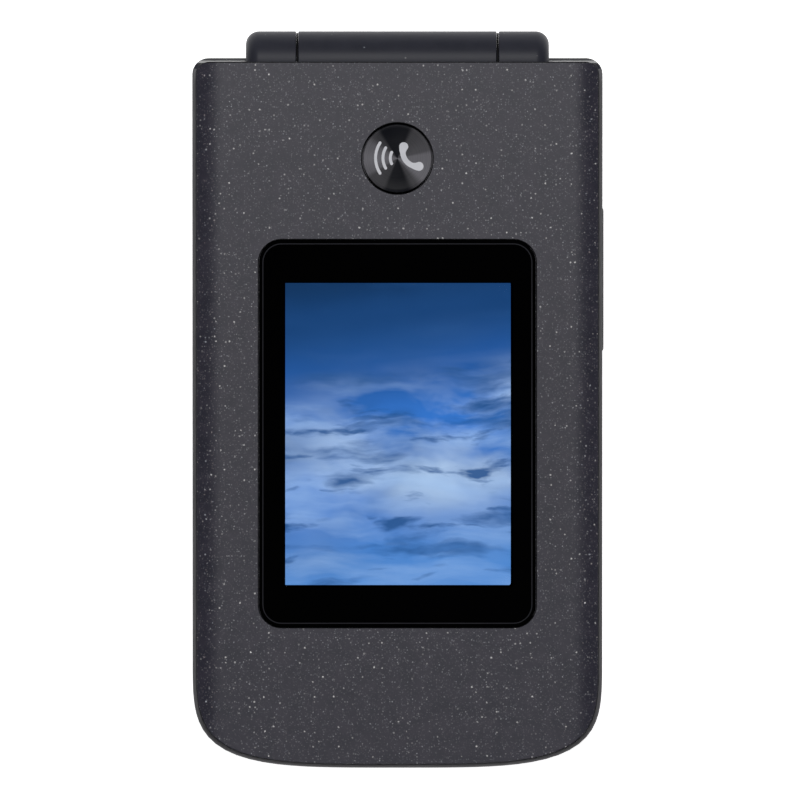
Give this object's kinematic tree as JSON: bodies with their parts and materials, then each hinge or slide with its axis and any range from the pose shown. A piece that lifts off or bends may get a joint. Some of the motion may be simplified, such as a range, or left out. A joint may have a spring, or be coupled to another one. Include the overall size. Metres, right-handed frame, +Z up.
{
  "type": "flip phone",
  "caption": "Folding mobile phone with a hinged lid, an outer display, a round lid button, a keypad half, a volume rocker and a slide-off battery cover.",
  "frame": {"origin": "middle of the phone's footprint, on the surface that its back lies on", "axes": "+X to the right and +Y towards the hinge as the lid is seen from above, +Z up out of the closed lid"},
  "size_m": [0.0557, 0.0996, 0.019],
  "materials": {
    "flake_paint": "charcoal paint with fine silver flakes, satin",
    "inner_plastic": "dark grey satin moulding",
    "window_gloss": "gloss black window",
    "outer_screen": "lit display with a blue sky picture",
    "main_screen": "lit display with a blue sky picture",
    "spun_metal": "black spun metal with a silver mark",
    "tin_plate": "bright tin plate",
    "circuit_board": "green solder resist",
    "black_plastic": "black moulding",
    "mesh_metal": "fine dark mesh",
    "nickel_plate": "nickel plate",
    "black_rubber": "black rubber",
    "screw_steel": "dark plated steel",
    "hinge_steel": "turned steel",
    "flex_film": "amber film",
    "shell_plastic": "charcoal satin shell",
    "battery_wrap": "dark battery wrap",
    "gold_contacts": "gold flash",
    "antenna_foil": "copper foil on its carrier",
    "dome_film": "milky film with steel domes",
    "clear_rubber": "milky silicone",
    "ring_metal": "dark satin metal",
    "key_plastic": "dark keys with pale lettering"
  },
  "bodies": {
    "base": {"base_front_cover": "shell_plastic", "base_rear_cover": "shell_plastic", "base_screws": "screw_steel", "battery": "battery_wrap", "battery_contacts": "gold_contacts", "main_board": "circuit_board", "shield_cans": "tin_plate", "usb_connector": "nickel_plate", "audio_jack": "black_plastic", "card_holder": "tin_plate", "loudspeaker": "black_plastic", "camera_module": "black_plastic", "camera_window": "window_gloss", "microphone": "gold_contacts", "antenna": "antenna_foil", "vibration_motor": "nickel_plate", "dome_sheet": "dome_film", "keymat": "clear_rubber", "side_switches": "tin_plate", "hinge_shaft": "hinge_steel", "hinge_bush": "hinge_steel", "base_flex": "flex_film"},
    "lid": {"lid_cover": "flake_paint", "lid_inner_cover": "inner_plastic", "outer_window": "window_gloss", "outer_display": "outer_screen", "front_button_switch": "tin_plate", "lid_board": "circuit_board", "display_frame": "tin_plate", "inner_display": "main_screen", "inner_window": "window_gloss", "earpiece": "black_plastic", "earpiece_mesh": "mesh_metal", "lid_magnet": "nickel_plate", "lid_bumpers": "black_rubber", "lid_screws": "screw_steel", "hinge_module": "hinge_steel", "hinge_flex": "flex_film"},
    "front_button": {"front_button": "spun_metal"},
    "battery_cover": {"battery_cover": "shell_plastic"},
    "volume_rocker": {"volume_rocker": "black_plastic"},
    "nav_pivot": {"nav_pivot": "inner_plastic"},
    "nav_ring": {"nav_ring": "ring_metal"},
    "ok_key": {"ok_key": "ring_metal"},
    "left_soft_key": {"left_soft_key": "key_plastic"},
    "right_soft_key": {"right_soft_key": "key_plastic"},
    "call_key": {"call_key": "key_plastic"},
    "end_key": {"end_key": "key_plastic"},
    "key_1": {"key_1": "key_plastic"},
    "key_2": {"key_2": "key_plastic"},
    "key_3": {"key_3": "key_plastic"},
    "key_4": {"key_4": "key_plastic"},
    "key_5": {"key_5": "key_plastic"},
    "key_6": {"key_6": "key_plastic"},
    "key_7": {"key_7": "key_plastic"},
    "key_8": {"key_8": "key_plastic"},
    "key_9": {"key_9": "key_plastic"},
    "key_star": {"key_star": "key_plastic"},
    "key_0": {"key_0": "key_plastic"},
    "key_hash": {"key_hash": "key_plastic"}
  },
  "joints": [
    {"name": "lid_hinge", "type": "hinge", "parent": "base", "child": "lid", "pos_m": [0, 0.0456, 0.0108], "axis": [-1, 0, 0], "range_deg": [0, 160]},
    {"name": "front_button_press", "type": "slide", "parent": "lid", "child": "front_button", "axis": [0, 0, -1], "range_m": [0, 0.0004], "stiffness_N_per_m": 1500, "springref_m": -0.0004},
    {"name": "battery_cover_slide", "type": "slide", "parent": "base", "child": "battery_cover", "axis": [0, -1, 0], "range_m": [0, 0.005]},
    {"name": "volume_rock", "type": "hinge", "parent": "base", "child": "volume_rocker", "pos_m": [0.02625, 0.01625, 0.0066], "axis": [0, 0, 1], "range_deg": [-1.8, 1.8], "stiffness_Nm_per_rad": 0.33},
    {"name": "nav_up_down", "type": "hinge", "parent": "base", "child": "nav_pivot", "pos_m": [0, 0.0284, 0.008], "axis": [1, 0, 0], "range_deg": [-1, 1], "stiffness_Nm_per_rad": 0.46},
    {"name": "nav_left_right", "type": "hinge", "parent": "nav_pivot", "child": "nav_ring", "pos_m": [0, 0.0284, 0.00855], "axis": [0, 1, 0], "range_deg": [-1, 1], "stiffness_Nm_per_rad": 0.46},
    {"name": "ok_key_press", "type": "slide", "parent": "base", "child": "ok_key", "axis": [0, 0, -1], "range_m": [0, 0.0003], "stiffness_N_per_m": 2000, "springref_m": -0.0003},
    {"name": "left_soft_key_press", "type": "slide", "parent": "base", "child": "left_soft_key", "axis": [0, 0, -1], "range_m": [0, 0.0003], "stiffness_N_per_m": 2000, "springref_m": -0.0003},
    {"name": "right_soft_key_press", "type": "slide", "parent": "base", "child": "right_soft_key", "axis": [0, 0, -1], "range_m": [0, 0.0003], "stiffness_N_per_m": 2000, "springref_m": -0.0003},
    {"name": "call_key_press", "type": "slide", "parent": "base", "child": "call_key", "axis": [0, 0, -1], "range_m": [0, 0.0003], "stiffness_N_per_m": 2000, "springref_m": -0.0003},
    {"name": "end_key_press", "type": "slide", "parent": "base", "child": "end_key", "axis": [0, 0, -1], "range_m": [0, 0.0003], "stiffness_N_per_m": 2000, "springref_m": -0.0003},
    {"name": "key_1_press", "type": "slide", "parent": "base", "child": "key_1", "axis": [0, 0, -1], "range_m": [0, 0.0003], "stiffness_N_per_m": 2000, "springref_m": -0.0003},
    {"name": "key_2_press", "type": "slide", "parent": "base", "child": "key_2", "axis": [0, 0, -1], "range_m": [0, 0.0003], "stiffness_N_per_m": 2000, "springref_m": -0.0003},
    {"name": "key_3_press", "type": "slide", "parent": "base", "child": "key_3", "axis": [0, 0, -1], "range_m": [0, 0.0003], "stiffness_N_per_m": 2000, "springref_m": -0.0003},
    {"name": "key_4_press", "type": "slide", "parent": "base", "child": "key_4", "axis": [0, 0, -1], "range_m": [0, 0.0003], "stiffness_N_per_m": 2000, "springref_m": -0.0003},
    {"name": "key_5_press", "type": "slide", "parent": "base", "child": "key_5", "axis": [0, 0, -1], "range_m": [0, 0.0003], "stiffness_N_per_m": 2000, "springref_m": -0.0003},
    {"name": "key_6_press", "type": "slide", "parent": "base", "child": "key_6", "axis": [0, 0, -1], "range_m": [0, 0.0003], "stiffness_N_per_m": 2000, "springref_m": -0.0003},
    {"name": "key_7_press", "type": "slide", "parent": "base", "child": "key_7", "axis": [0, 0, -1], "range_m": [0, 0.0003], "stiffness_N_per_m": 2000, "springref_m": -0.0003},
    {"name": "key_8_press", "type": "slide", "parent": "base", "child": "key_8", "axis": [0, 0, -1], "range_m": [0, 0.0003], "stiffness_N_per_m": 2000, "springref_m": -0.0003},
    {"name": "key_9_press", "type": "slide", "parent": "base", "child": "key_9", "axis": [0, 0, -1], "range_m": [0, 0.0003], "stiffness_N_per_m": 2000, "springref_m": -0.0003},
    {"name": "key_star_press", "type": "slide", "parent": "base", "child": "key_star", "axis": [0, 0, -1], "range_m": [0, 0.0003], "stiffness_N_per_m": 2000, "springref_m": -0.0003},
    {"name": "key_0_press", "type": "slide", "parent": "base", "child": "key_0", "axis": [0, 0, -1], "range_m": [0, 0.0003], "stiffness_N_per_m": 2000, "springref_m": -0.0003},
    {"name": "key_hash_press", "type": "slide", "parent": "base", "child": "key_hash", "axis": [0, 0, -1], "range_m": [0, 0.0003], "stiffness_N_per_m": 2000, "springref_m": -0.0003}
  ]
}
